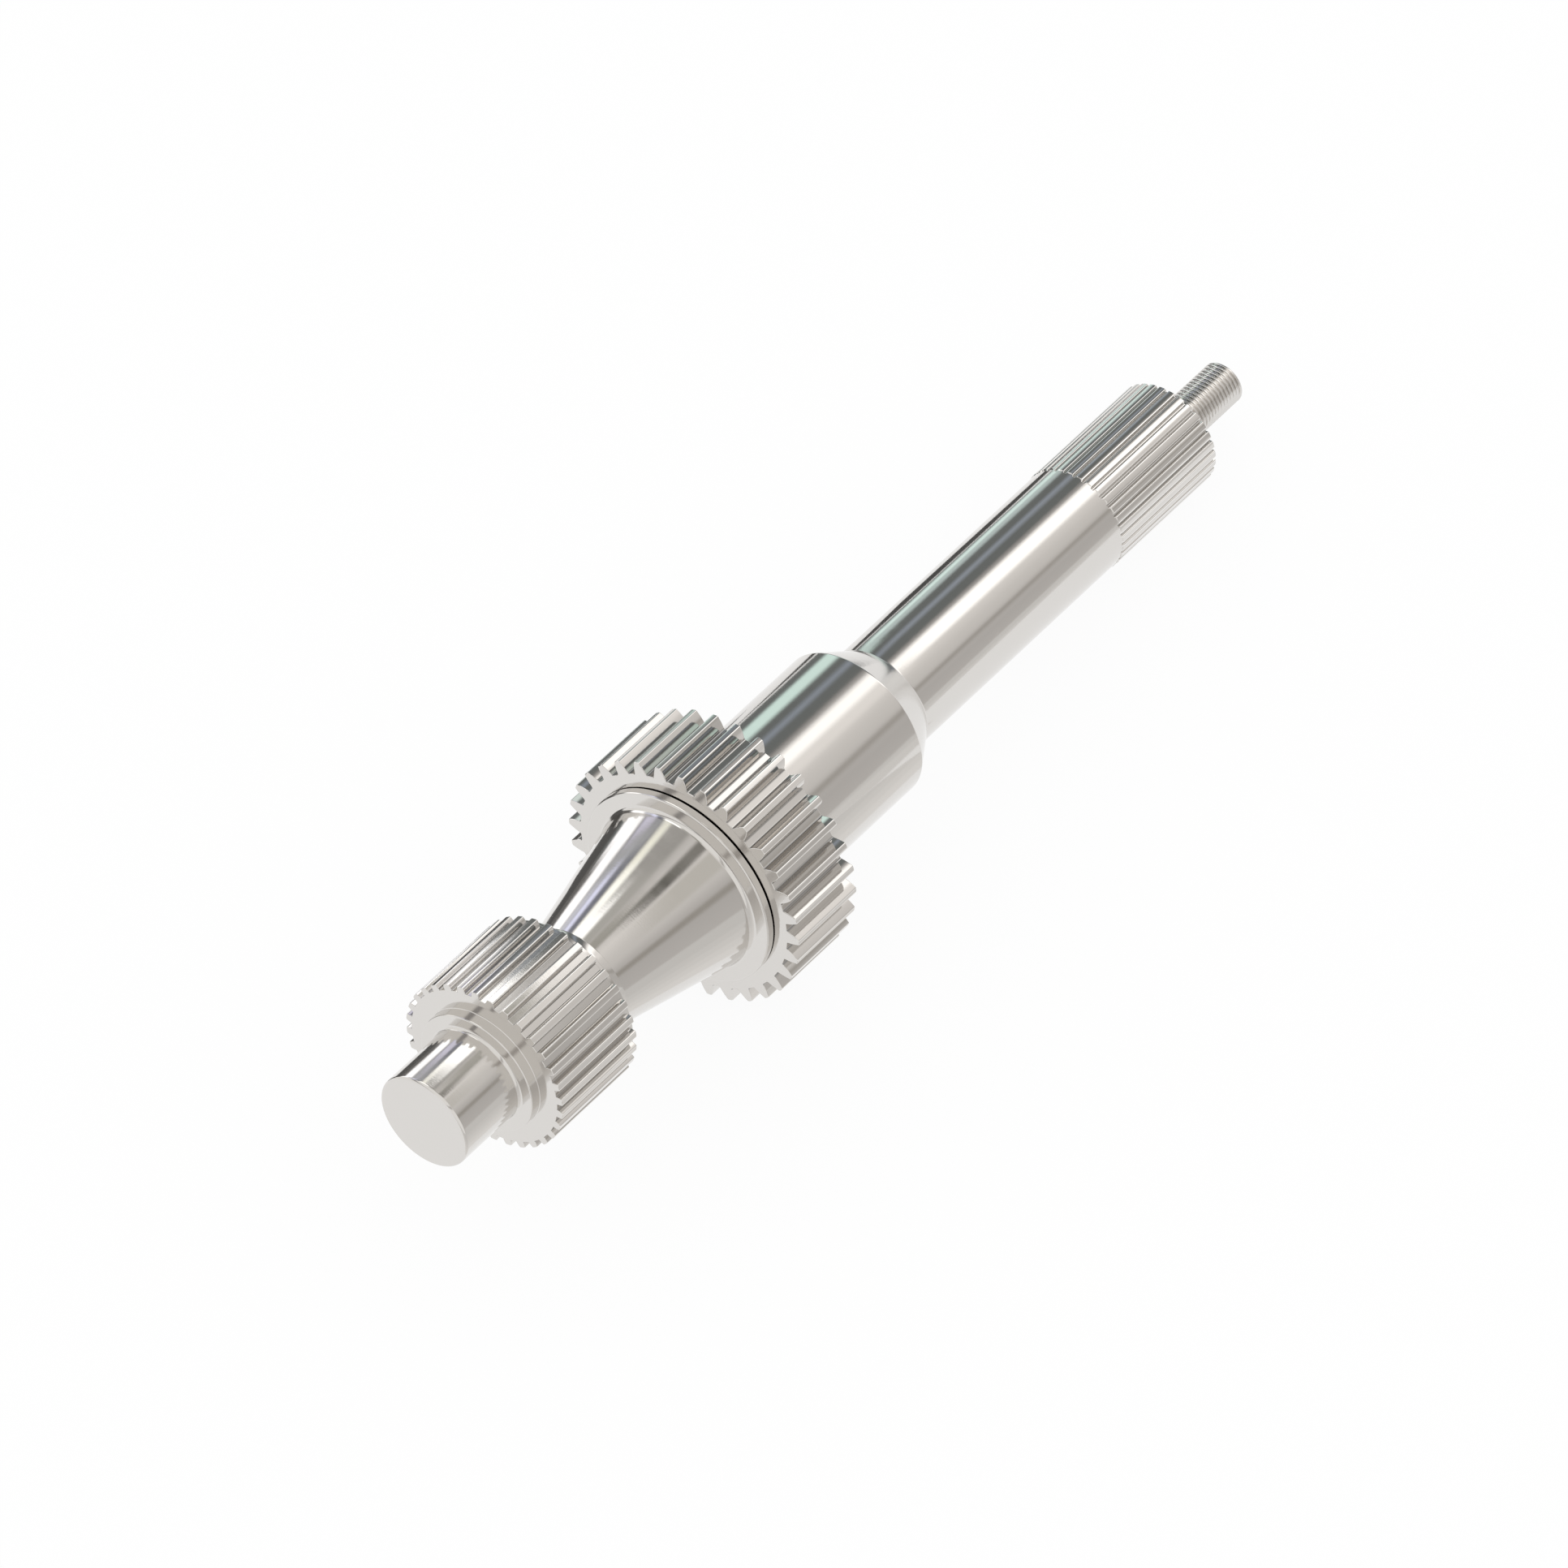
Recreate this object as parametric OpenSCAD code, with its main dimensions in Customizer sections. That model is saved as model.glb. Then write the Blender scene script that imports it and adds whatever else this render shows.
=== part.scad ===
// Drive shaft: a turned steel shaft with a pinion cut on it, a pressed-on main gear, a rear spline and a stud.
// The shaft's axis is X. The origin is the centre of the pilot journal's end face, and +X points at the stud.
// A gap between two teeth of the main gear faces straight down, so the gear lies on two teeth.

/* [Pilot journal] */
// Diameter of the pilot journal at the front end
pilot_d = 31; // [26:0.5:34]
// Length of the pilot journal, up to the collar
pilot_len = 24; // [15:0.5:40]
// Rounding of the edge of the end face
pilot_round = 1; // [0.3:0.1:2]
// Fillet between the pilot journal and the collar's face
pilot_fillet = 1.2; // [0.3:0.1:2.5]

/* [Front collar] */
// Diameter of the collar in front of the pinion
collar_d = 40; // [37:0.5:48]
// Length of the collar
collar_len = 3.5; // [2:0.1:8]
// Rounding of the collar's front edge
collar_round = 0.6; // [0.2:0.1:1]

/* [Pinion] */
// Number of pinion teeth
pinion_teeth = 32; // [28:1:36]
// Module of the pinion: its pitch diameter divided by its number of teeth
pinion_module = 1.7; // [1.65:0.05:1.9]
// Face width of the pinion
pinion_len = 34; // [20:0.5:60]
// Height of the teeth above the pitch circle
pinion_addendum = 0.95; // [0.6:0.05:1.3]
// Depth of the gaps below the pitch circle
pinion_dedendum = 1; // [0.7:0.05:1.1]
// Pressure angle of the pinion teeth
pinion_pressure = 15; // [12:0.5:20]
// Share of the pitch that a pinion tooth fills on the pitch circle
pinion_share = 0.5; // [0.42:0.01:0.56]
// Turn of the pinion teeth about the axis, against the main gear's
pinion_turn = -4.5; // [-5.5:0.1:5.5]

/* [Rim, neck and cone] */
// Diameter of the rim behind the pinion
rim_d = 51.6; // [44:0.2:52]
// Length of the rim
rim_len = 1.4; // [0.6:0.1:4]
// Diameter of the neck, where the cone starts
neck_d = 35.4; // [30:0.2:40]
// Length from the rim to the start of the cone
neck_len = 7.4; // [5:0.1:14]
// Fillet between the rim's back and the neck
neck_fillet = 6.6; // [2:0.1:7]
// Diameter at which the cone meets the shoulder
cone_d = 54.5; // [46:0.5:57]
// Length of the cone
cone_len = 45.7; // [30:0.1:80]
// Fillet between the cone and the shoulder's face
cone_fillet = 1.8; // [0.5:0.1:2.5]

/* [Shoulder and gear seat] */
// Diameter of the shoulder that the main gear bears on
shoulder_d = 65.6; // [63:0.2:70]
// Length of the shoulder, up to the main gear's face
shoulder_len = 3; // [2.4:0.1:8]
// Rounding of the shoulder's front edge
shoulder_round = 0.6; // [0.2:0.1:1]
// Width of the relief between the shoulder's rim and the gear's face
seam = 0.35; // [0.2:0.05:0.6]
// Diameter of the land inside the relief, which the gear's face bears on
land_d = 60; // [57:0.5:62]
// Diameter of the seat that the main gear is pressed on to
seat_d = 54; // [52:0.5:56]
// Distance by which the seat ends short of the gear's rear face
seat_short = 1; // [0.5:0.1:3]

/* [Main gear] */
// Number of main gear teeth
gear_teeth = 32; // [30:1:36]
// Module of the main gear: its pitch diameter divided by its number of teeth
gear_module = 2.45; // [2.4:0.05:2.7]
// Face width of the main gear
gear_len = 27; // [16:0.5:50]
// Height of the teeth above the pitch circle
gear_addendum = 2.45; // [1.8:0.05:2.7]
// Depth of the gaps below the pitch circle
gear_dedendum = 1.85; // [1.4:0.05:2.2]
// Pressure angle of the main gear's teeth
gear_pressure = 20; // [18:0.5:22]
// Share of the pitch that a gear tooth fills on the pitch circle
gear_share = 0.5; // [0.46:0.01:0.54]

/* [Journals and taper] */
// Diameter of the main journal behind the gear
journal_d = 50; // [44:0.5:51]
// Length of the main journal
journal_len = 53; // [30:0.5:90]
// Length of the taper between the main and the rear journal
taper_len = 12.3; // [6:0.1:30]
// Diameter of the rear journal
rear_d = 35; // [33:0.5:38]
// Length of the rear journal
rear_len = 94.7; // [50:0.1:160]

/* [Spline] */
// Number of spline teeth
spline_teeth = 32; // [24:1:36]
// Diameter over the spline's teeth
spline_d = 35.6; // [35.2:0.1:37]
// Length of the spline
spline_len = 45.7; // [20:0.1:80]
// Depth of the grooves below the tops of the teeth
spline_depth = 1; // [0.7:0.05:1.2]
// Pressure angle of the spline's teeth
spline_pressure = 20; // [15:1:22]
// Share of the pitch that a spline tooth fills halfway down a groove
spline_share = 0.75; // [0.7:0.01:0.76]
// Turn of the spline teeth about the axis, against the main gear's
spline_turn = 5.5; // [-5.5:0.1:5.5]
// Distance by which the grooves run out into the rear journal
spline_runout = 0.6; // [0.3:0.1:2]

/* [Stud] */
// Outer diameter of the thread on the stud
stud_d = 14; // [10:0.5:20]
// Length of the stud
stud_len = 28.3; // [12:0.1:50]
// Chamfer of the stud's end
stud_chamfer = 0.8; // [0.3:0.1:1.5]

/* [Edges] */
// Chamfer on the ends of the teeth of the pinion, the gear and the spline
tooth_chamfer = 0.3; // [0.1:0.05:0.5]
// Rounding in the bottom corners of the pinion's gaps
pinion_root = 0.25; // [0.1:0.05:0.3]
// Rounding in the bottom corners of the spline's grooves
spline_root = 0.15; // [0.05:0.05:0.2]
// Rounding in the bottom corners of the main gear's gaps
gear_root = 0.6; // [0.2:0.05:0.7]

/* [Hidden] */
steel = [0.77, 0.76, 0.74];
gear_steel = [0.80, 0.79, 0.77];

// Round surfaces, straight pieces of each small fillet and of each tooth flank
$fn = 96;
fillet_steps = 6;
flank_steps = 4;
// Distance by which a cutter reaches past the metal that it cuts
over = 1;

// Places along the axis, from the pilot's end face
collar_x = pilot_len;
pinion_x = collar_x + collar_len;
rim_x = pinion_x + pinion_len;
neck_x = rim_x + rim_len;
cone_x = neck_x + neck_len;
shoulder_x = cone_x + cone_len;
gear_x = shoulder_x + shoulder_len;
journal_x = gear_x + gear_len;
taper_x = journal_x + journal_len;
rear_x = taper_x + taper_len;
spline_x = rear_x + rear_len;
stud_x = spline_x + spline_len;
end_x = stud_x + stud_len;

// Radii of the teeth
pinion_pitch_r = pinion_teeth * pinion_module / 2;
pinion_tip_r = pinion_pitch_r + pinion_addendum;
pinion_root_r = pinion_pitch_r - pinion_dedendum;
gear_pitch_r = gear_teeth * gear_module / 2;
gear_tip_r = gear_pitch_r + gear_addendum;
gear_root_r = gear_pitch_r - gear_dedendum;
spline_tip_r = spline_d / 2;
spline_pitch_r = spline_tip_r - spline_depth / 2;
spline_root_r = spline_tip_r - spline_depth;

// Fillets, each held inside the wall that carries it
pilot_fillet_r = min(pilot_fillet, (collar_d - pilot_d) / 2 - collar_round);
neck_fillet_r = min(neck_fillet, neck_len, (rim_d - neck_d) / 2);
cone_fillet_r = min(cone_fillet, (shoulder_d - cone_d) / 2 - shoulder_round);

// Slope of the cone, and how far its fillet reaches out along the shoulder's face
cone_tilt = atan((cone_d - neck_d) / 2 / cone_len);
cone_back = cone_fillet_r / tan(45 + cone_tilt / 2);

// Points of an arc round a centre, from one angle to another
function arc(centre, r, from, to) = [
    for (i = [0:fillet_steps])
        let (a = from + (to - from) * i / fillet_steps)
        centre + r * [cos(a), sin(a)]
];

// Point at a radius and an angle
function polar(r, a) = r * [cos(a), sin(a)];

// Points of a smooth bend from p to q that leaves p and meets q along the lines through the corner
function bend(p, corner, q) = [
    for (i = [0:fillet_steps / 2])
        let (t = 2 * i / fillet_steps)
        (1 - t) * (1 - t) * p + 2 * t * (1 - t) * corner + t * t * q
];

// Involute function of an angle, in degrees
function involute(a) = tan(a) * 180 / PI - a;

// Half the angle that a gap between two teeth spans at radius r
function gap_half(r, teeth, pitch_r, pressure, share) =
    let (base_r = pitch_r * cos(pressure))
    let (rolled = r > base_r ? involute(acos(base_r / r)) : 0)
    180 / teeth * (1 - share) - involute(pressure) + rolled;

// One side of a gap: from past the tips down the involute flank and round the corner to the bottom
function gap_side(teeth, pitch_r, tip_r, root_r, pressure, share, corner_r) =
    let (foot_r = root_r + corner_r)
    let (root_half = gap_half(root_r, teeth, pitch_r, pressure, share))
    concat(
        [for (i = [0:flank_steps])
            let (r = tip_r + over - (tip_r + over - foot_r) * i / flank_steps)
            polar(r, gap_half(r, teeth, pitch_r, pressure, share))],
        bend(
            polar(foot_r, gap_half(foot_r, teeth, pitch_r, pressure, share)),
            polar(root_r, root_half),
            polar(root_r, root_half - corner_r / root_r * 180 / PI)
        )
    );

// Points in the opposite order, on the other side of the gap's middle
function mirrored(side) = [for (i = [len(side) - 1:-1:0]) [side[i][0], -side[i][1]]];

// Turns a body that stands on Z so that it lies along X
module lie_along_x() {
    rotate([0, 90, 0]) children();
}

// Cutter for all the gaps round one set of teeth, along Z from start for a length
module gap_cutter(start, length, teeth, turn, side) {
    translate([0, 0, start])
        linear_extrude(height = length)
            for (k = [0:teeth - 1])
                rotate(turn + 360 / teeth * k)
                    polygon(concat(side, mirrored(side)));
}

// Turned blank of the shaft: radius against distance along the axis
module shaft_blank() {
    rotate_extrude()
        polygon(concat(
            [[0, 0]],
            arc([pilot_d / 2 - pilot_round, pilot_round], pilot_round, -90, 0),
            arc([pilot_d / 2 + pilot_fillet_r, collar_x - pilot_fillet_r], pilot_fillet_r, 180, 90),
            arc([collar_d / 2 - collar_round, collar_x + collar_round], collar_round, -90, 0),
            [
                [collar_d / 2, pinion_x],
                [pinion_tip_r - tooth_chamfer, pinion_x],
                [pinion_tip_r, pinion_x + tooth_chamfer],
                [pinion_tip_r, rim_x - tooth_chamfer],
                [pinion_tip_r - tooth_chamfer, rim_x],
                [rim_d / 2, rim_x],
                [rim_d / 2, neck_x]
            ],
            arc([neck_d / 2 + neck_fillet_r, neck_x + neck_fillet_r], neck_fillet_r, 270, 180),
            [[neck_d / 2, cone_x]],
            arc([cone_d / 2 + cone_back, shoulder_x - cone_fillet_r], cone_fillet_r, 180 - cone_tilt, 90),
            arc([shoulder_d / 2 - shoulder_round, shoulder_x + shoulder_round], shoulder_round, -90, 0),
            [
                [shoulder_d / 2, gear_x - seam],
                [land_d / 2, gear_x - seam],
                [land_d / 2, gear_x],
                [seat_d / 2, gear_x],
                [seat_d / 2, journal_x - seat_short],
                [journal_d / 2, journal_x - seat_short],
                [journal_d / 2, taper_x],
                [rear_d / 2, rear_x],
                [rear_d / 2, spline_x],
                [spline_tip_r, spline_x + tooth_chamfer],
                [spline_tip_r, stud_x - tooth_chamfer],
                [spline_tip_r - tooth_chamfer, stud_x],
                [stud_d / 2, stud_x],
                [stud_d / 2, end_x - stud_chamfer],
                [stud_d / 2 - stud_chamfer, end_x],
                [0, end_x]
            ]
        ));
}

// Shaft, cut from one bar, with its pinion and its spline
module shaft() {
    color(steel)
        lie_along_x()
            difference() {
                shaft_blank();
                gap_cutter(
                    pinion_x - over, pinion_len + 2 * over, pinion_teeth, pinion_turn,
                    gap_side(pinion_teeth, pinion_pitch_r, pinion_tip_r, pinion_root_r,
                        pinion_pressure, pinion_share, pinion_root)
                );
                gap_cutter(
                    spline_x - spline_runout, spline_runout + spline_len + over, spline_teeth, spline_turn,
                    gap_side(spline_teeth, spline_pitch_r, spline_tip_r, spline_root_r,
                        spline_pressure, spline_share, spline_root)
                );
            }
}

// Main gear: a ring pressed on to the seat from the rear, up to the land
module main_gear() {
    color(gear_steel)
        lie_along_x()
            difference() {
                rotate_extrude()
                    polygon([
                        [seat_d / 2, gear_x],
                        [gear_tip_r - tooth_chamfer, gear_x],
                        [gear_tip_r, gear_x + tooth_chamfer],
                        [gear_tip_r, journal_x - tooth_chamfer],
                        [gear_tip_r - tooth_chamfer, journal_x],
                        [seat_d / 2, journal_x]
                    ]);
                gap_cutter(
                    gear_x - over, gear_len + 2 * over, gear_teeth, 0,
                    gap_side(gear_teeth, gear_pitch_r, gear_tip_r, gear_root_r,
                        gear_pressure, gear_share, gear_root)
                );
            }
}

shaft();
main_gear();
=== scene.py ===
import math
import bmesh
import bpy
from mathutils import Matrix, Vector


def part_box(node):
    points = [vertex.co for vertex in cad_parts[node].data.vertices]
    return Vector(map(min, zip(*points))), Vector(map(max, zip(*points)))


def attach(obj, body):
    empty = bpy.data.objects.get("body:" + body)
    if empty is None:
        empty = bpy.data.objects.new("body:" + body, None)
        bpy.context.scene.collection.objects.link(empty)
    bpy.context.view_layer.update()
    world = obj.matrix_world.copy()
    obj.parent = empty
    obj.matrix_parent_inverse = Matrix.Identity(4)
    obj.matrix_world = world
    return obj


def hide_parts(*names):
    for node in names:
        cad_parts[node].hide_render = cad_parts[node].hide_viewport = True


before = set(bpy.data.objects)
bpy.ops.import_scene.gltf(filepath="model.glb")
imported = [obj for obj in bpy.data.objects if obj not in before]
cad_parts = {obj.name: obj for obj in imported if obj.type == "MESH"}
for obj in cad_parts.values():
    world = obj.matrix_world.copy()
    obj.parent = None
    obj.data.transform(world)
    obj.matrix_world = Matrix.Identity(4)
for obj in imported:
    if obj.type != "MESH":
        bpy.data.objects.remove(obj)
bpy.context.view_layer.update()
mm = 0.001
shaftLow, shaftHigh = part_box("shaft")
gearLow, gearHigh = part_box("main_gear")
print("packed frame loaded")

# Rings. A ring spans one tooth pitch, from the middle of one gap to the middle of the next, as pairs of
# (angle, radius) in radians and millimetres. All three sets of teeth have the same number of teeth.
toothCount = 32
pitchAngle = 2 * math.pi / toothCount


def polar(radius, angle):
    return Vector((radius * math.cos(angle), radius * math.sin(angle)))


def toPairs(points):
    return [(math.atan2(p.y, p.x), p.length) for p in points]


def bend(start, corner, end, steps):
    # a smooth bend that leaves start and meets end along the lines through the corner
    return [start * (1 - t) ** 2 + corner * (2 * t * (1 - t)) + end * t * t
            for t in [i / steps for i in range(steps + 1)]]


def gapHalf(tooth, radius):
    # half the angle that a gap spans at a radius, between involute flanks
    pressure = math.radians(tooth["pressureAngle"])
    rolling = math.acos(min(1, tooth["pitchRadius"] * math.cos(pressure) / radius))
    return (pitchAngle / 2 * (1 - tooth["share"]) - math.tan(pressure) + pressure
            + math.tan(rolling) - rolling)


def toothRing(tooth):
    # bottom of the gap, root fillet, involute flank, rounded tip edge and land, then the same mirrored
    tip, root, fillet, edge = (tooth[k] for k in ("tipRadius", "rootRadius", "rootFillet", "tipRounding"))
    side = tip - tooth["crowning"]
    foot, crown = root + fillet, side - edge
    rootHalf, tipHalf = gapHalf(tooth, root), gapHalf(tooth, tip)
    points = [polar(root, 0)]
    points += bend(polar(root, rootHalf - fillet / root), polar(root, rootHalf), polar(foot, gapHalf(tooth, foot)), 4)
    for i in range(1, 4):
        radius = foot + (crown - foot) * i / 4
        points.append(polar(radius, gapHalf(tooth, radius)))
    points += bend(polar(crown, gapHalf(tooth, crown)), polar(side, tipHalf), polar(side, tipHalf + edge / tip), 3)
    half = toPairs(points)
    edgeAngle, steps = half[-1][0], 4
    for i in range(1, steps):
        angle = edgeAngle + (pitchAngle / 2 - edgeAngle) * i / steps
        half.append((angle, tip - tooth["crowning"] * (1 - i / steps) ** 2))
    return half + [(pitchAngle / 2, tip)] + [(pitchAngle - a, r) for a, r in reversed(half)]


def shrunkRing(ring, distance):
    # the same outline, moved into the metal by a distance
    points = [polar(r, a) for a, r in ring]
    points = [polar(ring[-2][1], ring[-2][0] - pitchAngle)] + points + [polar(ring[1][1], ring[1][0] + pitchAngle)]
    moved = []
    for before, point, after in zip(points, points[1:], points[2:]):
        ahead = (after - point).normalized()
        along = ((point - before).normalized() + ahead).normalized()
        moved.append(point - Vector((along.y, -along.x)) * distance / max(0.7, along.dot(ahead)))
    return toPairs(moved)


def plainRing(steps):
    return [(pitchAngle * i / steps, 1) for i in range(steps + 1)]


def ringAt(ring, radius):
    return [(a, radius) for a, r in ring]


# Rows. A row is (place along the axis, ring, finish of the band between it and the next row).
def arcRows(centre, radius, fromAngle, toAngle, steps, ring, finish):
    # an arc in a plane through the axis; 0 degrees points at the stud, 90 degrees outwards
    rows = []
    for i in range(steps + 1):
        angle = math.radians(fromAngle + (toAngle - fromAngle) * i / steps)
        rows.append((centre[0] + radius * math.cos(angle), ringAt(ring, centre[1] + radius * math.sin(angle)), finish))
    return rows


def cornerRows(start, corner, end, ring, finish):
    # a small bend between two stretches of the turned outline, whose points are (place, radius)
    return [(p.x, ringAt(ring, p.y), finish) for p in bend(Vector(start), Vector(corner), Vector(end), 3)]


def toothRows(tooth, front, rear, edge, finish):
    # toothed rings between two flat end faces, with rounded edges at both ends
    ring = toothRing(tooth)
    rows = []
    for angle in (0, math.pi / 4, math.pi / 2):
        rows.append((front + edge * (1 - math.cos(angle)), shrunkRing(ring, edge * (1 - math.sin(angle))), finish))
    rows += [(front + rear - x, r, f) for x, r, f in reversed(rows)]
    x, last, finish = rows[-1]
    return rows[:-1] + [(x, last, "faced")]


def turned(rows, degrees):
    return [(x, [(a + math.radians(degrees), r) for a, r in ring], finish) for x, ring, finish in rows]


finishes = ["ground", "faced", "cut", "threaded", "rolled"]


def paintedLightAt(ring):
    # above 0 for a painted highlight on the rounded tip edges of a tooth, below 0 for painted shade in the corners at
    # its root, 0 elsewhere
    marks = [0] * len(ring)
    if len(ring) > 20:
        for i, mark in ((2, -0.4), (3, -1), (4, -0.4), (10, 0.7), (11, 1), (12, 1)):
            marks[i] = marks[-1 - i] = mark
    return marks


def sectorObject(name, rows, closed=False):
    # one pitch of a turned and toothed body, skinned from row to row
    made = bmesh.new()
    # a point layer of painted light: painted highlights on tooth tip edges, painted shade in root corners
    worn = made.verts.layers.float.new("worn")
    places, before = [], None
    for x, ring, finish in rows:
        places.append([made.verts.new(Vector((x, r * math.sin(a), -r * math.cos(a))) * mm) for a, r in ring])
        for vert, mark in zip(places[-1], paintedLightAt(ring)):
            vert[worn] = mark if finish == before and finish in ("cut", "rolled") else 0
        before = finish
    bands = list(zip(places, places[1:], rows))
    if closed:
        bands.append((places[-1], places[0], rows[-1]))
    for a, b, row in bands:
        if len(a) == len(b):
            faces = [(a[i], a[i + 1], b[i + 1], b[i]) for i in range(len(a) - 1)]
        elif len(a) == 1:
            faces = [(a[0], b[i + 1], b[i]) for i in range(len(b) - 1)]
        elif len(b) == 1:
            faces = [(a[i], a[i + 1], b[0]) for i in range(len(a) - 1)]
        else:
            faces = [a + b[::-1]]  # a flat face between two unlike rings
        for corners in faces:
            made.faces.new(corners).material_index = finishes.index(row[2])
    mesh = bpy.data.meshes.new(name)
    made.to_mesh(mesh)
    made.free()
    sector = bpy.data.objects.new(name, mesh)
    bpy.context.scene.collection.objects.link(sector)
    return sector


# Node helpers
def newTree(name, inputs):
    tree = bpy.data.node_groups.new(name, "GeometryNodeTree")
    tree.interface.new_socket("Geometry", in_out="INPUT", socket_type="NodeSocketGeometry")
    for label, kind, value in inputs:
        socket = tree.interface.new_socket(label, in_out="INPUT", socket_type=kind)
        if value is not None:
            socket.default_value = value
    tree.interface.new_socket("Geometry", in_out="OUTPUT", socket_type="NodeSocketGeometry")
    return tree


def addNode(tree, kind, settings=None, **inputs):
    # inputs are named by their socket's name or, with a leading underscore, by its index
    node = tree.nodes.new(kind)
    for key, value in (settings or {}).items():
        setattr(node, key, value)
    for key, value in inputs.items():
        socket = node.inputs[int(key[1:])] if key[0] == "_" else node.inputs[key.replace("__", " ")]
        if isinstance(value, bpy.types.NodeSocket):
            tree.links.new(value, socket)
        else:
            socket.default_value = value
    return node


def mathNode(tree, operation, *values):
    return addNode(tree, "ShaderNodeMath", {"operation": operation},
                   **{f"_{i}": value for i, value in enumerate(values)}).outputs[0]


# Materials. Shared effects are node groups; each steel places them with its own values
metal = {
    "colour": (0.7, 0.68, 0.655, 1),
    # the faced steel is darker than the ground steel: painted shade, standing in for the darker floor that the flat
    # faces reflect near the object
    "facedPaintedShadeColour": (0.58, 0.56, 0.54, 1),
    # the next two colours are painted light: a painted highlight for tooth tip edges and a painted shade for root
    # corners
    "worn": (0.96, 0.945, 0.925, 1),
    "soiled": (0.28, 0.28, 0.28, 1),
    "ground": {"roughness": 0.05, "uneven": 0.03, "ringBump": 0.02, "grainBump": 0.012, "grain": 3.0, "ringGap": 0.4},
    "faced": {"roughness": 0.06, "uneven": 0.03, "ringBump": 0.01, "grainBump": 0.008, "grain": 3.0, "ringGap": 0.3},
    "cut": {"roughness": 0.09, "uneven": 0.07, "ringBump": 0.01, "grainBump": 0.1, "grain": 2.6, "ringGap": 0.5},
    "threaded": {"roughness": 0.08, "uneven": 0.06, "ringBump": 0.02, "grainBump": 0.03, "grain": 4.0, "ringGap": 0.2},
    "rolled": {"roughness": 0.07, "uneven": 0.05, "ringBump": 0.01, "grainBump": 0.025, "grain": 2.6, "ringGap": 0.5},
}


def newGroup(name, inputs, outputs):
    tree = bpy.data.node_groups.new(name, "ShaderNodeTree")
    for label, kind, value in inputs:
        socket = tree.interface.new_socket(label, in_out="INPUT", socket_type=kind)
        if value is not None:
            socket.default_value = value
    for label, kind in outputs:
        tree.interface.new_socket(label, in_out="OUTPUT", socket_type=kind)
    return tree, tree.nodes.new("NodeGroupInput").outputs, tree.nodes.new("NodeGroupOutput").inputs


def makeTurningMarks():
    # rings left by the tool: they change along the axis and outwards, and hardly round it
    tree, given, put = newGroup("turningMarks", [
        ("Place", "NodeSocketVector", None), ("Ring Gap", "NodeSocketFloat", 0.4),
    ], [("Height", "NodeSocketFloat"), ("Mask", "NodeSocketFloat")])
    x, y, z = addNode(tree, "ShaderNodeSeparateXYZ", _0=given["Place"]).outputs
    outward = addNode(tree, "ShaderNodeCombineXYZ", Y=y, Z=z).outputs[0]
    radius = addNode(tree, "ShaderNodeVectorMath", {"operation": "LENGTH"}, _0=outward).outputs["Value"]
    along = mathNode(tree, "MULTIPLY", mathNode(tree, "SUBTRACT", x, radius), 1000.0)
    fine = addNode(tree, "ShaderNodeTexNoise", {"noise_dimensions": "1D"}, W=mathNode(tree, "DIVIDE", along, given["Ring Gap"]),
                   Scale=1.0, Detail=2.0, Roughness=0.6)
    broad = addNode(tree, "ShaderNodeTexNoise", {"noise_dimensions": "1D"}, W=mathNode(tree, "MULTIPLY", along, 0.35),
                    Scale=1.0, Detail=1.0)
    tree.links.new(fine.outputs[0], put["Height"])
    tree.links.new(broad.outputs[0], put["Mask"])
    return tree


def makeGrain():
    # fine pits and a slow cloudiness, the same in all directions
    tree, given, put = newGroup("metalGrain", [
        ("Place", "NodeSocketVector", None), ("Grains per mm", "NodeSocketFloat", 3.0),
    ], [("Height", "NodeSocketFloat"), ("Cloud", "NodeSocketFloat")])
    fine = addNode(tree, "ShaderNodeTexNoise", Vector=given["Place"], Detail=2.0, Roughness=0.7,
                   Scale=mathNode(tree, "MULTIPLY", given["Grains per mm"], 1000.0))
    cloud = addNode(tree, "ShaderNodeTexNoise", Vector=given["Place"], Scale=90.0, Detail=3.0, Roughness=0.55)
    tree.links.new(fine.outputs[0], put["Height"])
    tree.links.new(cloud.outputs[0], put["Cloud"])
    return tree


def makePaintedEdgeLight():
    # paints highlights on the tips' edges and paints shade into the root corners, which the mesh marks in the attribute
    # read here
    tree, given, put = newGroup("paintedEdgeLight", [
        ("Colour", "NodeSocketColor", (0.6, 0.6, 0.6, 1)), ("Worn Colour", "NodeSocketColor", (0.8, 0.8, 0.8, 1)),
        ("Soiled Colour", "NodeSocketColor", (0.3, 0.3, 0.3, 1)), ("Cloud", "NodeSocketFloat", 0.5),
    ], [("Colour", "NodeSocketColor"), ("Mask", "NodeSocketFloat")])
    worn = addNode(tree, "ShaderNodeAttribute", {"attribute_name": "worn"}).outputs["Fac"]
    patchy = addNode(tree, "ShaderNodeMapRange", _0=given["Cloud"], _1=0.3, _2=0.6, _3=0.6, _4=1.0).outputs[0]
    paintedHighlightMask = mathNode(tree, "MULTIPLY", addNode(tree, "ShaderNodeClamp", _0=worn).outputs[0], patchy)
    # painted shade for the root corners, where the mark is below 0
    soiled = addNode(tree, "ShaderNodeClamp", _0=mathNode(tree, "MULTIPLY", worn, -1.0)).outputs[0]
    withHighlight = addNode(tree, "ShaderNodeMix", {"data_type": "RGBA"}, _0=paintedHighlightMask, _6=given["Colour"], _7=given["Worn Colour"])
    mixed = addNode(tree, "ShaderNodeMix", {"data_type": "RGBA"}, _0=soiled, _6=withHighlight.outputs[2], _7=given["Soiled Colour"])
    tree.links.new(mixed.outputs[2], put["Colour"])
    tree.links.new(paintedHighlightMask, put["Mask"])
    return tree


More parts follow.
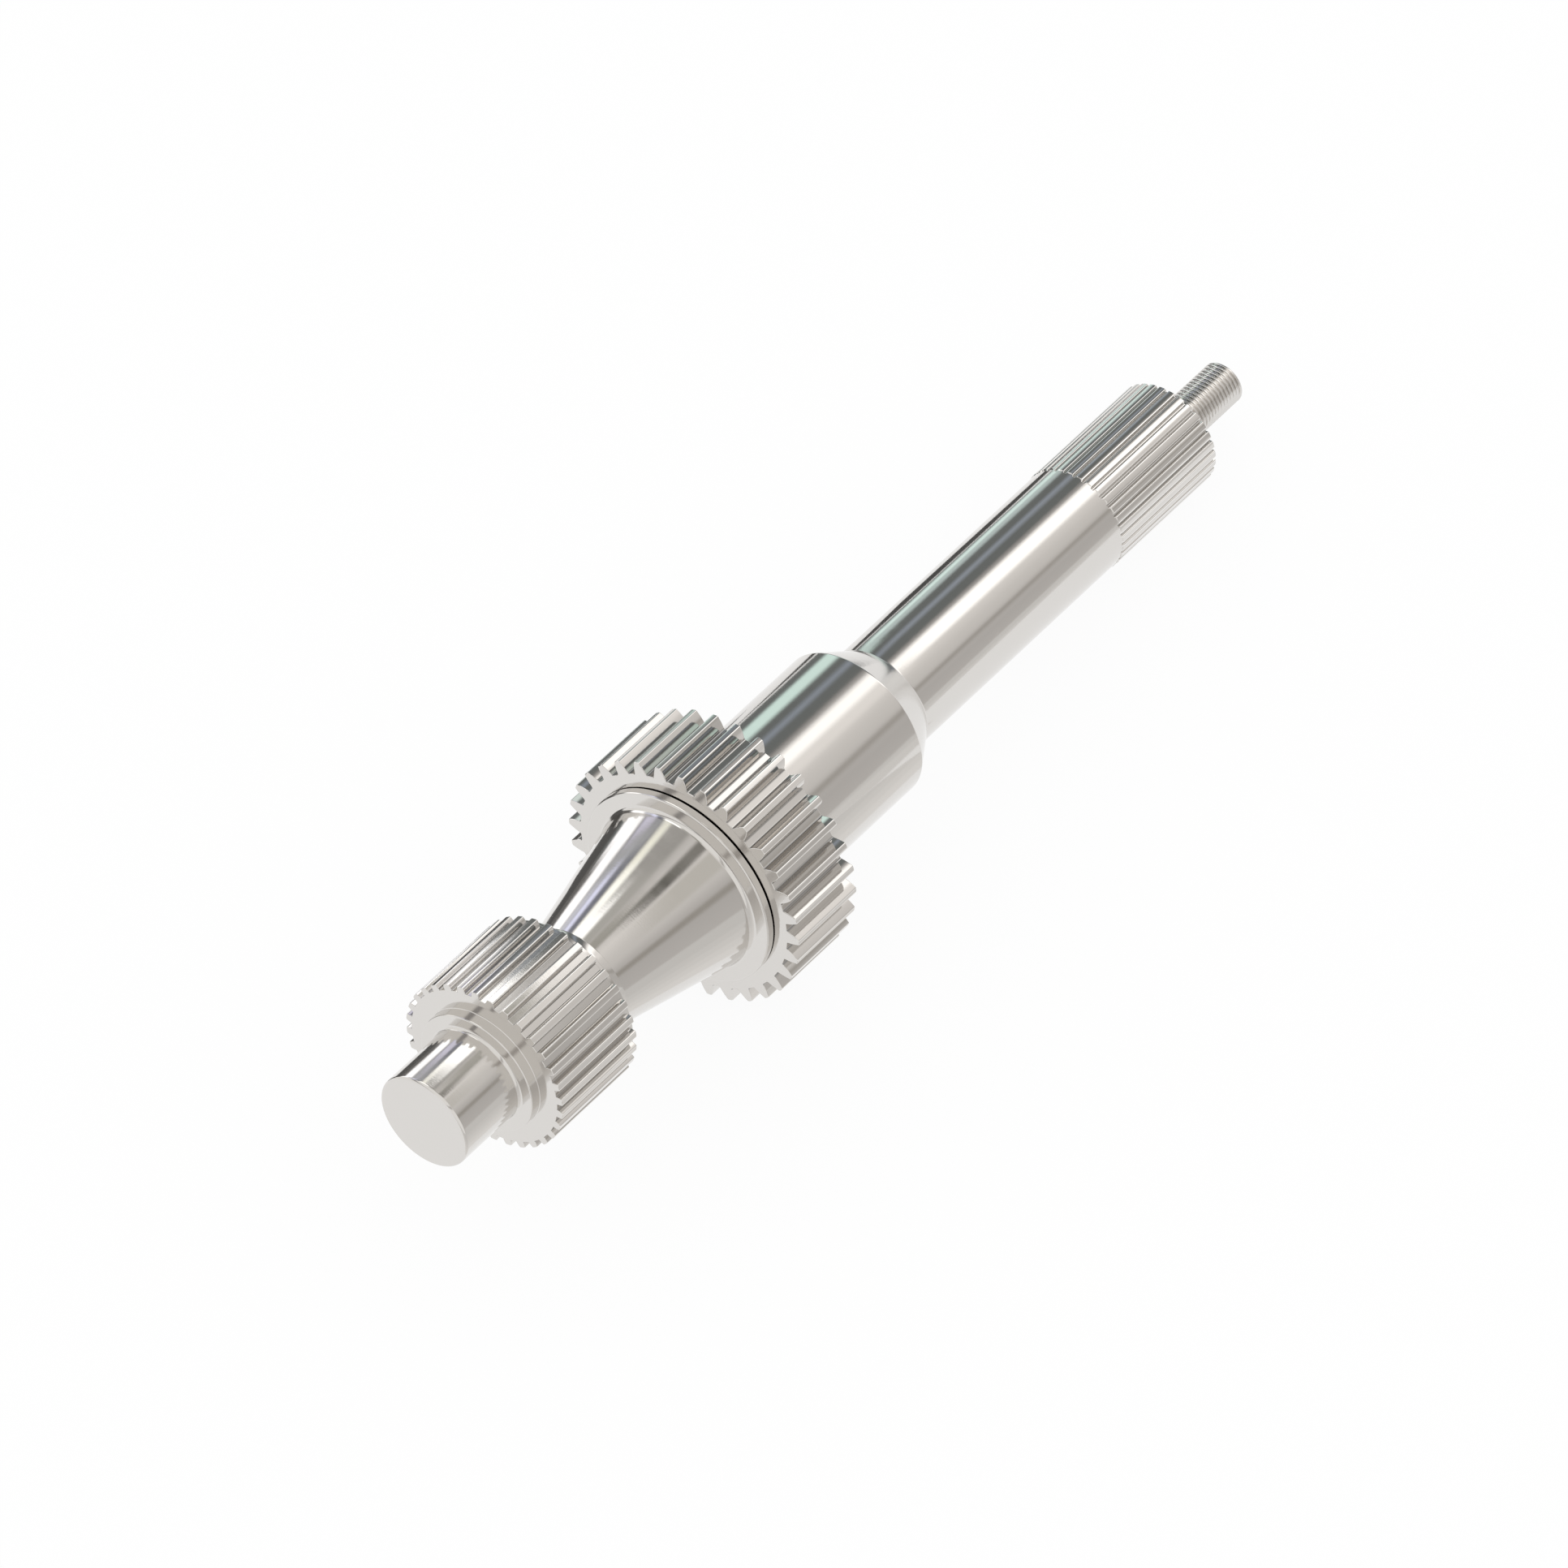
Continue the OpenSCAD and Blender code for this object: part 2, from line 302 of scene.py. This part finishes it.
turningMarks, metalGrain, paintedEdgeLight = makeTurningMarks(), makeGrain(), makePaintedEdgeLight()


def placeGroup(tree, group, **inputs):
    return addNode(tree, "ShaderNodeGroup", {"node_tree": group}, **inputs).outputs


def newSteel(name, look):
    material = bpy.data.materials.new(name)
    material.use_nodes = True
    tree = material.node_tree
    shader = tree.nodes["Principled BSDF"]
    place = tree.nodes.new("ShaderNodeTexCoord").outputs["Object"]
    rings = placeGroup(tree, turningMarks, Place=place, Ring__Gap=look["ringGap"])
    grain = placeGroup(tree, metalGrain, Place=place, Grains__per__mm=look["grain"])
    # painted highlights on tooth tip edges and painted shade in root corners go into the base colour here
    edgeLight = placeGroup(tree, paintedEdgeLight, Colour=metal["facedPaintedShadeColour" if look is metal["faced"] else "colour"], Worn__Colour=metal["worn"],
                      Soiled__Colour=metal["soiled"], Cloud=grain["Cloud"])
    tree.links.new(edgeLight["Colour"], shader.inputs["Base Color"])
    shader.inputs["Metallic"].default_value = 1
    uneven = mathNode(tree, "ADD", mathNode(tree, "MULTIPLY", grain["Cloud"], 0.6), mathNode(tree, "MULTIPLY", rings["Mask"], 0.4))
    rough = addNode(tree, "ShaderNodeMapRange", _0=uneven, _1=0.3, _2=0.7, _3=look["roughness"],
                    _4=look["roughness"] + look["uneven"]).outputs[0]
    tree.links.new(rough, shader.inputs["Roughness"])
    low = addNode(tree, "ShaderNodeBump", Strength=look["ringBump"], Distance=0.0002, Height=rings["Height"]).outputs[0]
    both = addNode(tree, "ShaderNodeBump", Strength=look["grainBump"], Distance=0.0002, Height=grain["Height"], Normal=low)
    tree.links.new(both.outputs[0], shader.inputs["Normal"])
    return material


materials = [newSteel("groundSteel", metal["ground"]), newSteel("facedSteel", metal["faced"]),
             newSteel("cutSteel", metal["cut"]), newSteel("threadedSteel", metal["threaded"]),
             newSteel("rolledSteel", metal["rolled"])]
print("materials made")


# Geometry Nodes
def makeRepeatTree():
    # repeats one sector round the axis and closes the seams between its copies
    tree = newTree("repeatAroundAxis", [
        ("Count", "NodeSocketInt", 32),
        ("Seam Distance", "NodeSocketFloat", 0.000002),
        ("Sharp Angle", "NodeSocketFloat", 0.9),
    ] + [(name, "NodeSocketMaterial", None) for name in finishes])
    given = tree.nodes.new("NodeGroupInput").outputs
    points = addNode(tree, "GeometryNodePoints", Count=given["Count"])
    index = tree.nodes.new("GeometryNodeInputIndex").outputs[0]
    step = mathNode(tree, "DIVIDE", 2 * math.pi, given["Count"])
    turn = addNode(tree, "ShaderNodeCombineXYZ", X=mathNode(tree, "MULTIPLY", index, step))
    copies = addNode(tree, "GeometryNodeInstanceOnPoints", Points=points.outputs[0],
                     Instance=given["Geometry"], Rotation=turn.outputs[0])
    whole = addNode(tree, "GeometryNodeRealizeInstances", _0=copies.outputs[0])
    joined = addNode(tree, "GeometryNodeMergeByDistance", Geometry=whole.outputs[0], Distance=given["Seam Distance"])
    smooth = addNode(tree, "GeometryNodeSetShadeSmooth", {"domain": "FACE"}, _0=joined.outputs[0], _2=True)
    angle = tree.nodes.new("GeometryNodeInputMeshEdgeAngle").outputs[0]
    sharp = addNode(tree, "FunctionNodeCompare", {"operation": "GREATER_THAN"}, _0=angle, _1=given["Sharp Angle"])
    last = addNode(tree, "GeometryNodeSetShadeSmooth", {"domain": "EDGE"}, _0=smooth.outputs[0],
                   _1=sharp.outputs[0], _2=False).outputs[0]
    slot = tree.nodes.new("GeometryNodeInputMaterialIndex").outputs[0]
    for i, name in enumerate(finishes):
        chosen = addNode(tree, "FunctionNodeCompare", {"data_type": "INT", "operation": "EQUAL"}, _2=slot, _3=i)
        last = addNode(tree, "GeometryNodeSetMaterial", _0=last, _1=chosen.outputs[0], _2=given[name]).outputs[0]
    tree.links.new(last, tree.nodes.new("NodeGroupOutput").inputs[0])
    return tree


def setInputs(modifier, values):
    for item in modifier.node_group.interface.items_tree:
        if item.in_out == "INPUT" and item.name in values:
            modifier[item.identifier] = values[item.name]


def finishPiece(sector, name, nodes, slot):
    # applies the node trees, then rides the plain mesh on the one body
    for tree, values in nodes:
        modifier = sector.modifiers.new(tree.name, "NODES")
        modifier.node_group = tree
        setInputs(modifier, values)
    weights = sector.modifiers.new("flatFaces", "WEIGHTED_NORMAL")
    weights.keep_sharp = True
    weights.weight = 100
    graph = bpy.context.evaluated_depsgraph_get()
    mesh = bpy.data.meshes.new_from_object(sector.evaluated_get(graph), depsgraph=graph)
    mesh.name = name
    piece = bpy.data.objects.new(name, mesh)
    bpy.context.scene.collection.objects.link(piece)
    bpy.data.objects.remove(sector)
    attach(piece, "root")
    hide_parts(slot[0])
    print(name, "made with", sum(len(p.vertices) - 2 for p in mesh.polygons), "triangles")
    return piece


def makeThreadTree():
    # sinks a right-handed helical groove into the points of the stud
    tree = newTree("cutThread", [
        ("Pitch", "NodeSocketFloat", 0.00125),
        ("Depth", "NodeSocketFloat", 0.0006),
        ("Outer Radius", "NodeSocketFloat", 0.007),
        ("Start", "NodeSocketFloat", 0.352),
        ("End", "NodeSocketFloat", 0.376),
        ("Fade", "NodeSocketFloat", 0.001),
        ("Steel", "NodeSocketMaterial", None),
    ])
    given = tree.nodes.new("NodeGroupInput").outputs
    place = tree.nodes.new("GeometryNodeInputPosition").outputs[0]
    x, y, z = addNode(tree, "ShaderNodeSeparateXYZ", _0=place).outputs
    outward = addNode(tree, "ShaderNodeCombineXYZ", Y=y, Z=z).outputs[0]
    radius = addNode(tree, "ShaderNodeVectorMath", {"operation": "LENGTH"}, _0=outward).outputs["Value"]
    turns = mathNode(tree, "DIVIDE", mathNode(tree, "ARCTAN2", y, z), -2 * math.pi)
    along = mathNode(tree, "FRACT", mathNode(tree, "ADD", mathNode(tree, "DIVIDE", x, given["Pitch"]), turns))
    # 0 in the middle of the groove, 1 on the crest
    height = mathNode(tree, "ABSOLUTE", mathNode(tree, "SUBTRACT", mathNode(tree, "MULTIPLY", along, 2.0), 1.0))
    groove = addNode(tree, "ShaderNodeMapRange", {"interpolation_type": "SMOOTHSTEP"}, _0=height,
                     _1=0.06, _2=0.92, _3=1, _4=0).outputs[0]
    begun = addNode(tree, "ShaderNodeMapRange", {"interpolation_type": "SMOOTHSTEP"}, _0=x, _1=given["Start"],
                    _2=mathNode(tree, "ADD", given["Start"], 0.0001)).outputs[0]
    ended = addNode(tree, "ShaderNodeMapRange", {"interpolation_type": "SMOOTHSTEP"}, _0=x, _1=given["End"],
                    _2=mathNode(tree, "ADD", given["End"], given["Fade"]), _3=1, _4=0).outputs[0]
    share = mathNode(tree, "MULTIPLY", mathNode(tree, "MULTIPLY", begun, ended), groove)
    sunk = mathNode(tree, "DIVIDE", mathNode(tree, "MULTIPLY", share, given["Depth"]), given["Outer Radius"])
    onTop = addNode(tree, "FunctionNodeCompare", {"operation": "GREATER_THAN"}, _0=radius,
                    _1=mathNode(tree, "MULTIPLY", given["Outer Radius"], 0.995)).outputs[0]
    shift = addNode(tree, "ShaderNodeVectorMath", {"operation": "SCALE"}, _0=outward,
                    Scale=mathNode(tree, "MULTIPLY", sunk, -1.0)).outputs[0]
    threaded = addNode(tree, "FunctionNodeCompare", {"operation": "GREATER_THAN"}, _0=x, _1=given["Start"]).outputs[0]
    both = addNode(tree, "FunctionNodeBooleanMath", {"operation": "AND"}, _0=onTop, _1=threaded).outputs[0]
    moved = addNode(tree, "GeometryNodeSetPosition", Geometry=given["Geometry"], Selection=both, Offset=shift)
    whole = addNode(tree, "GeometryNodeRealizeInstances", _0=moved.outputs[0])
    stud = addNode(tree, "FunctionNodeCompare", {"operation": "GREATER_THAN"}, _0=x,
                   _1=mathNode(tree, "ADD", given["Start"], 0.0002)).outputs[0]
    last = addNode(tree, "GeometryNodeSetMaterial", _0=whole.outputs[0], _1=stud, _2=given["Steel"])
    tree.links.new(last.outputs[0], tree.nodes.new("NodeGroupOutput").inputs[0])
    return tree


repeatTree = makeRepeatTree()
threadTree = makeThreadTree()
repeatInputs = {"Count": toothCount, **dict(zip(finishes, materials))}

# Shaft, in millimetres from the pilot's end face
shaftSizes = {
    "pilotRadius": 15.5, "pilotEnd": 24, "pilotRounding": 1, "pilotFillet": 1.2,
    "collarRadius": 20, "collarRounding": 0.4, "pinionFront": 27.5, "pinionRear": 61.5,
    "rimRadius": 25.8, "rimRear": 62.9, "neckRadius": 17.7, "neckFillet": 6.6,
    "coneFront": 70.3, "coneRadius": 27.25, "coneFillet": 1.8,
    "shoulderFront": 116, "shoulderRadius": 32.8, "shoulderRounding": 0.6, "seam": 0.35, "landRadius": 30,
    "seatRadius": 27, "seatRear": 145, "journalRadius": 25, "journalEnd": 199,
    "rearRadius": 17.5, "rearFront": 211.3, "splineFront": 306, "splineRear": 351.7, "splineRunout": 0.6,
    "studRadius": 7, "studRounding": 0.9, "edge": 0.15,
    "pinionTurn": -4.5, "splineTurn": 5.5 - 360 / 32,
}
pinionTooth = {
    "pitchRadius": 27.2, "tipRadius": 28.15, "rootRadius": 26.2, "pressureAngle": 15, "share": 0.5,
    "rootFillet": 0.25, "tipRounding": 0.28, "crowning": 0,
}
splineTooth = {
    "pitchRadius": 17.3, "tipRadius": 17.8, "rootRadius": 16.8, "pressureAngle": 20, "share": 0.75,
    "rootFillet": 0.15, "tipRounding": 0.18, "crowning": 0.05,
}
thread = {"radius": 7, "pitch": 1.5, "depth": 0.8, "start": 351.9, "end": 378.6, "fade": 0.5, "stepsPerPitch": 14}
gearFront = gearLow.x / mm
gearRear = gearHigh.x / mm
shaftEnd = shaftHigh.x / mm


def shaftRows(s):
    ring = plainRing(8)
    tilt = math.degrees(math.atan((s["coneRadius"] - s["neckRadius"]) / (s["shoulderFront"] - s["coneFront"])))
    coneBack = s["coneFillet"] / math.tan(math.radians(45 + tilt / 2))
    rows = [(0, [(0, 0)], "faced")]
    rows += arcRows((s["pilotRounding"], s["pilotRadius"] - s["pilotRounding"]), s["pilotRounding"],
                    180, 90, 6, ring, "ground")
    rows += arcRows((s["pilotEnd"] - s["pilotFillet"], s["pilotRadius"] + s["pilotFillet"]), s["pilotFillet"],
                    -90, 0, 6, ring, "faced")
    rows += arcRows((s["pilotEnd"] + s["collarRounding"], s["collarRadius"] - s["collarRounding"]),
                    s["collarRounding"], 180, 90, 5, ring, "ground")
    rows += arcRows((s["pinionFront"] - 0.25, s["collarRadius"] + 0.25), 0.25, -90, 0, 3, ring, "faced")
    rows += toothRows(pinionTooth, s["pinionFront"], s["pinionRear"], 0.2, "cut")
    rows += [(s["pinionRear"], ringAt(ring, s["rimRadius"]), "ground")]
    rows += arcRows((s["rimRear"] - 0.3, s["rimRadius"] - 0.3), 0.3, 90, 0, 4, ring, "faced")
    rows += arcRows((s["rimRear"] + s["neckFillet"], s["neckRadius"] + s["neckFillet"]), s["neckFillet"],
                    180, 270, 10, ring, "ground")
    rise = math.tan(math.radians(tilt))
    for step in (-0.12, 0, 0.12):
        rows.append((s["coneFront"] + step, ringAt(ring, s["neckRadius"] + max(0, step) * rise), "ground"))
    rows += arcRows((s["shoulderFront"] - s["coneFillet"], s["coneRadius"] + coneBack), s["coneFillet"],
                    -90 + tilt, 0, 6, ring, "faced")
    rows += arcRows((s["shoulderFront"] + s["shoulderRounding"], s["shoulderRadius"] - s["shoulderRounding"]),
                    s["shoulderRounding"], 180, 90, 5, ring, "ground")
    rows += arcRows((gearFront - s["seam"] - s["edge"], s["shoulderRadius"] - s["edge"]), s["edge"],
                    90, 0, 2, ring, "faced")
    rows += [(gearFront - s["seam"], ringAt(ring, s["landRadius"]), "ground"),
             (gearFront, ringAt(ring, s["landRadius"]), "ground"),
             (gearFront, ringAt(ring, s["seatRadius"]), "ground"),
             (s["seatRear"], ringAt(ring, s["seatRadius"]), "faced")]
    rows = turned(rows, s["pinionTurn"])

    # behind the seat every ring has the spline's angles, so that its lines run straight into the teeth
    ring = toothRing(splineTooth)
    slope = (Vector((s["rearFront"], s["rearRadius"])) - Vector((s["journalEnd"], s["journalRadius"]))).normalized()
    corner, foot = Vector((s["journalEnd"], s["journalRadius"])), Vector((s["rearFront"], s["rearRadius"]))
    rear = [(s["seatRear"], ringAt(ring, s["journalRadius"]), "ground")]
    rear += cornerRows(corner - Vector((0.3, 0)), corner, corner + slope * 0.3, ring, "ground")
    rear += cornerRows(foot - slope * 0.3, foot, foot + Vector((0.3, 0)), ring, "ground")
    front = s["splineFront"]
    clipped = [(a, min(r, s["rearRadius"])) for a, r in ring]
    rear += [(front - s["splineRunout"], ringAt(ring, s["rearRadius"]), "rolled"), (front, clipped, "rolled")]
    rear += toothRows(splineTooth, front, s["splineRear"], 0.2, "rolled")[2:]
    stud = plainRing(4)
    rear += arcRows((s["splineRear"] + 0.3, s["studRadius"] + 0.3 - thread["depth"]), 0.3, 180, 270, 3, stud, "threaded")
    start, end, steps = s["splineRear"] + 0.6, thread["end"] + 0.4, thread["stepsPerPitch"]
    count = math.ceil((end - start) / thread["pitch"] * steps)
    rear += [(start + (end - start) * i / count, ringAt(stud, s["studRadius"]), "threaded") for i in range(count + 1)]
    rear += arcRows((shaftEnd - s["studRounding"], s["studRadius"] - s["studRounding"]), s["studRounding"],
                    90, 0, 5, stud, "faced")
    rear += [(shaftEnd, [(0, 0)], "faced")]
    return rows + turned(rear, s["splineTurn"])


shaft = finishPiece(sectorObject("shaftSector", shaftRows(shaftSizes)), "turned_shaft",
                    [(repeatTree, repeatInputs), (threadTree, {
                        "Pitch": thread["pitch"] * mm, "Depth": thread["depth"] * mm, "Outer Radius": thread["radius"] * mm,
                        "Start": thread["start"] * mm, "End": thread["end"] * mm, "Fade": thread["fade"] * mm,
                        "Steel": materials[3]})],
                    ("shaft", "shaft_steel"))

# Main gear
gearTooth = {
    "pitchRadius": 39.2, "tipRadius": 41.65, "rootRadius": 37.35, "pressureAngle": 20, "share": 0.5,
    "rootFillet": 0.6, "tipRounding": 0.3, "crowning": 0,
}
gearSizes = {"boreRadius": 27, "edge": 0.25}


def gearRows(s):
    ring = toothRing(gearTooth)
    bore = ringAt(ring, s["boreRadius"])
    rows = [(gearRear, bore, "ground"), (gearFront, bore, "faced")]
    return rows + toothRows(gearTooth, gearFront, gearRear, s["edge"], "cut")


gear = finishPiece(sectorObject("gearSector", gearRows(gearSizes), closed=True), "main_gear_ring",
                   [(repeatTree, repeatInputs)], ("main_gear", "gear_steel"))

# Camera: the photograph's viewing angle, seen with a long lens
viewpoint = {
    "place": (-2.03295224, -1.47888234, 2.92782041),
    "right": (0.60947121, -0.79065368, 0.05840884),
    "up": (0.56411373, 0.48425021, 0.66878804),
    "lens": 315.517,
}
camera = bpy.data.objects.new("camera", bpy.data.cameras.new("camera"))
camera.data.sensor_width = 36
camera.data.lens = viewpoint["lens"]
camera.data.clip_end = 20
rightward, upward = Vector(viewpoint["right"]), Vector(viewpoint["up"])
turn = Matrix((rightward, upward, rightward.cross(upward))).transposed().to_4x4()
camera.matrix_world = Matrix.Translation(Vector(viewpoint["place"])) @ turn
bpy.context.scene.collection.objects.link(camera)
bpy.context.scene.camera = camera

# Floor: it touches the gear's rear edge and the spline's end, as the shaft lies
floorSizes = {"radius": 3.0, "camera": 0.92}
contactFront = Vector((gearRear * mm, 0, -gearTooth["tipRadius"] * mm))
contactRear = Vector((shaftSizes["splineRear"] * mm, 0, -splineTooth["tipRadius"] * mm))
lean = (contactRear - contactFront).normalized()
floorMesh = bpy.data.meshes.new("floor")
reach = floorSizes["radius"]
across = Vector((0, 1, 0))
floorMesh.from_pydata([contactFront + lean * a * reach + across * b * reach for a, b in
                       ((-1, -1), (1, -1), (1, 1), (-1, 1))], [], [(0, 1, 2, 3)])
floor = bpy.data.objects.new("floor", floorMesh)
bpy.context.scene.collection.objects.link(floor)

floorMaterial = bpy.data.materials.new("paleFloor")
floorMaterial.use_nodes = True
tree = floorMaterial.node_tree
tree.nodes.clear()
light = addNode(tree, "ShaderNodeEmission", Color=(1, 1, 1, 1), Strength=1.0)
matt = addNode(tree, "ShaderNodeBsdfDiffuse", Color=(0.96, 0.96, 0.96, 1))
path = tree.nodes.new("ShaderNodeLightPath")
seen = mathNode(tree, "MAXIMUM", path.outputs["Is Camera Ray"], path.outputs["Is Glossy Ray"])
share = mathNode(tree, "MULTIPLY", seen, floorSizes["camera"])
mixed = addNode(tree, "ShaderNodeMixShader", _0=share, _1=matt.outputs[0], _2=light.outputs[0])
addNode(tree, "ShaderNodeOutputMaterial", Surface=mixed.outputs[0])
floor.data.materials.append(floorMaterial)

# Light: a tent round the shaft's axis, which only its reflections show. Angles are from straight up: -90 is level
# at the near side and 90 level at the far side. Places along the axis are in metres.
tentSizes = {"radius": 0.3, "front": -1.2, "rear": 1.6, "reach": 100, "edge": 0.005, "angleEdge": 3, "rearFrom": 0.213, "rearAngleEdge": 5,
             "warmth": 0.97}
tentCloth = [(-100, 0.6), (-72, 0.56), (-58, 0.6), (-48, 0.72), (-35, 0.78), (-20, 0.9), (-8, 0.82), (9, 0.6), (21, 0.21), (100, 0.17)]
softBoxes = [  # from and to along the axis, from and to round it, colour
    (0.03, 0.213, -70, -62, (0.4, 0.38, 0.35)),
    (0.213, 1.6, -61, -55, (0.42, 0.4, 0.37)),
    (0.134, 0.182, -44, -22, (0.65, 0.63, 0.59)),
    (0.213, 1.6, 18, 100, (0.18, 0.192, 0.19)),
    (0.213, 0.41, -24, -9, (1.02, 0.99, 0.96)),
    (0.213, 0.41, -9, 8, (1.55, 1.53, 1.5)),
    (0.41, 1.6, -16, 8, (1.65, 1.63, 1.6)),
    (0.03, 0.134, -10, 4, (0.45, 0.44, 0.4)),
    (0.134, 0.155, -19, -5, (0.15, 0.145, 0.13)),
    (0.155, 0.182, -18, -5, (0.25, 0.24, 0.22)),
    (0.182, 0.213, -12, 4, (0.47, 0.46, 0.42)),
    (0.03, 0.186, 6, 42, (0.54, 0.53, 0.5)),
    (0.152, 0.186, 8, 30, (0.42, 0.41, 0.39)),
    (0.03, 0.143, 19, 40, (1.7, 1.7, 1.68)),
    (0.143, 0.162, 30, 40, (1.6, 1.6, 1.5)),
    (0.162, 0.18, 31, 39, (1.2, 1.2, 1.05)),
    (0.186, 0.213, 13, 41, (2.1, 2.1, 2.08)),
    (0.03, 0.213, 42, 49, (0.24, 0.25, 0.3)),
    (0.03, 0.172, 50, 58, (1.05, 1.08, 1.36)),
    (0.172, 0.188, 42, 66, (0.5, 0.51, 0.52)),
    (0.188, 0.213, 50, 63, (0.85, 0.83, 1.0)),
    (0.03, 0.172, 58, 66, (0.78, 0.79, 0.88)),
    (0.03, 0.188, 67, 85, (1.65, 1.65, 1.68)),
    (0.188, 0.204, 66, 83, (1.65, 1.65, 1.68)),
    (0.204, 0.23, 66, 89, (1.65, 1.65, 1.68)),
    (0.213, 0.41, 34, 42, (0.34, 0.38, 0.44)),
    (0.41, 1.6, 37, 46, (0.36, 0.4, 0.46)),
    (0.26, 0.322, 57, 77, (0.86, 0.96, 0.93)),
    (0.322, 0.41, 57, 77, (0.84, 1.06, 1.0)),
    (0.41, 1.6, 65, 75, (0.6, 0.7, 0.7)),
    (0.41, 1.6, 75, 86, (0.95, 1.16, 1.12)),
    (-1.2, 0.03, -100, 100, (0.97, 0.96, 0.94)),
    (-1.2, 0.01, 46, 58, (0.42, 0.41, 0.41)),
    (-1.2, 0.01, -46, -38, (0.55, 0.53, 0.51)),
]
# cloths on the floor: from and to along the axis, from and to across it, grey
flags = [
    (0.02, 0.14, 0.12, 0.3, 0.11), (0.14, 0.235, 0.1, 0.3, 0.11), (0.29, 0.42, 0.08, 0.22, 0.09),
    (-1.2, 0.24, -0.3, -0.12, 0.72), (-1.2, 0.24, -0.12, -0.09, 0.76), (-1.2, 0.24, -0.09, -0.07, 0.8),
    (-1.2, 0.24, -0.07, -0.055, 0.84), (-1.2, 0.24, -0.055, -0.04, 0.88), (0.24, 1.6, -0.3, -0.105, 0.8),
    (0.3, 1.6, -0.3, -0.14, 0.74),
]
flagLift = 0.002  # and each next cloth as much higher again, a tenth of it


def window(tree, value, low, high, edge):
    # 1 between low and high, 0 outside, with soft edges
    rise = addNode(tree, "ShaderNodeMapRange", {"interpolation_type": "SMOOTHSTEP"}, _0=value,
                   _1=low - edge, _2=low + edge).outputs[0]
    fall = addNode(tree, "ShaderNodeMapRange", {"interpolation_type": "SMOOTHSTEP"}, _0=value,
                   _1=high - edge, _2=high + edge, _3=1, _4=0).outputs[0]
    return mathNode(tree, "MULTIPLY", rise, fall)


def stageMesh(name, points, faces, material):
    # a staged sheet that only reflections show
    mesh = bpy.data.meshes.new(name)
    mesh.from_pydata(points, [], faces)
    mesh.materials.append(material)
    sheet = bpy.data.objects.new(name, mesh)
    bpy.context.scene.collection.objects.link(sheet)
    sheet.visible_camera = sheet.visible_diffuse = sheet.visible_shadow = False


def glowMaterial(name):
    material = bpy.data.materials.new(name)
    material.use_nodes = True
    material.node_tree.nodes.clear()
    glow = addNode(material.node_tree, "ShaderNodeEmission", Strength=1.0)
    addNode(material.node_tree, "ShaderNodeOutputMaterial", Surface=glow.outputs[0])
    return material, glow


def makeTent(s):
    material, glow = glowMaterial("tentCloth")
    tree = material.node_tree
    place = addNode(tree, "ShaderNodeTexCoord").outputs["Object"]
    parts = addNode(tree, "ShaderNodeSeparateXYZ", _0=place).outputs
    angle = mathNode(tree, "MULTIPLY", mathNode(tree, "ARCTAN2", parts["Y"], parts["Z"]), 180 / math.pi)
    share = addNode(tree, "ShaderNodeMapRange", _0=angle, _1=-s["reach"], _2=s["reach"]).outputs[0]
    ramp = addNode(tree, "ShaderNodeValToRGB", _0=share)
    stops = ramp.color_ramp.elements
    while len(stops) < len(tentCloth):
        stops.new(1)
    for stop, (at, grey) in zip(stops, tentCloth):
        stop.position = (at + s["reach"]) / (2 * s["reach"])
        stop.color = (grey, grey * s["warmth"], grey * s["warmth"] ** 2, 1)
    colour = ramp.outputs[0]
    for fromX, toX, fromAngle, toAngle, tint in softBoxes:
        softness = s["angleEdge"] if fromX < s["rearFrom"] else s["rearAngleEdge"]
        share = mathNode(tree, "MULTIPLY", window(tree, parts["X"], fromX, toX, s["edge"]),
                         window(tree, angle, fromAngle, toAngle, softness))
        colour = addNode(tree, "ShaderNodeMix", {"data_type": "RGBA"}, _0=share, _6=colour, _7=(*tint, 1)).outputs[2]
    tree.links.new(colour, glow.inputs["Color"])
    points, faces, steps = [], [], 48
    for i in range(steps + 1):
        turn = math.radians(s["reach"] * (2 * i / steps - 1))
        points += [(x, s["radius"] * math.sin(turn), s["radius"] * math.cos(turn)) for x in (s["front"], s["rear"])]
    for i in range(steps):
        faces.append((2 * i, 2 * i + 1, 2 * i + 3, 2 * i + 2))
    stageMesh("lightTent", points, faces, material)


def makeFlags(lift):
    for i, (front, rear, near, far, grey) in enumerate(flags):
        material, glow = glowMaterial(f"floorCloth{i}")
        glow.inputs["Color"].default_value = (grey, grey * 0.985, grey * 0.965, 1)
        corners = [contactFront + lean * (x - contactFront.x) + Vector((0, y, lift * (1 + i / 10)))
                   for x, y in ((front, near), (rear, near), (rear, far), (front, far))]
        stageMesh(f"floorCloth{i}", corners, [(0, 1, 2, 3)], material)


makeTent(tentSizes)
makeFlags(flagLift)

world = bpy.data.worlds.new("studio")
bpy.context.scene.world = world
world.use_nodes = True
tree = world.node_tree
tree.nodes.clear()
white = addNode(tree, "ShaderNodeBackground", Color=(1, 1, 1, 1), Strength=1.0)
room = addNode(tree, "ShaderNodeBackground", Color=(1, 1, 1, 1), Strength=1.0)
path = tree.nodes.new("ShaderNodeLightPath")
mixed = addNode(tree, "ShaderNodeMixShader", _0=path.outputs["Is Camera Ray"], _1=room.outputs[0], _2=white.outputs[0])
addNode(tree, "ShaderNodeOutputWorld", Surface=mixed.outputs[0])

bpy.context.scene.view_settings.view_transform = "Standard"
print("camera, floor and light set")
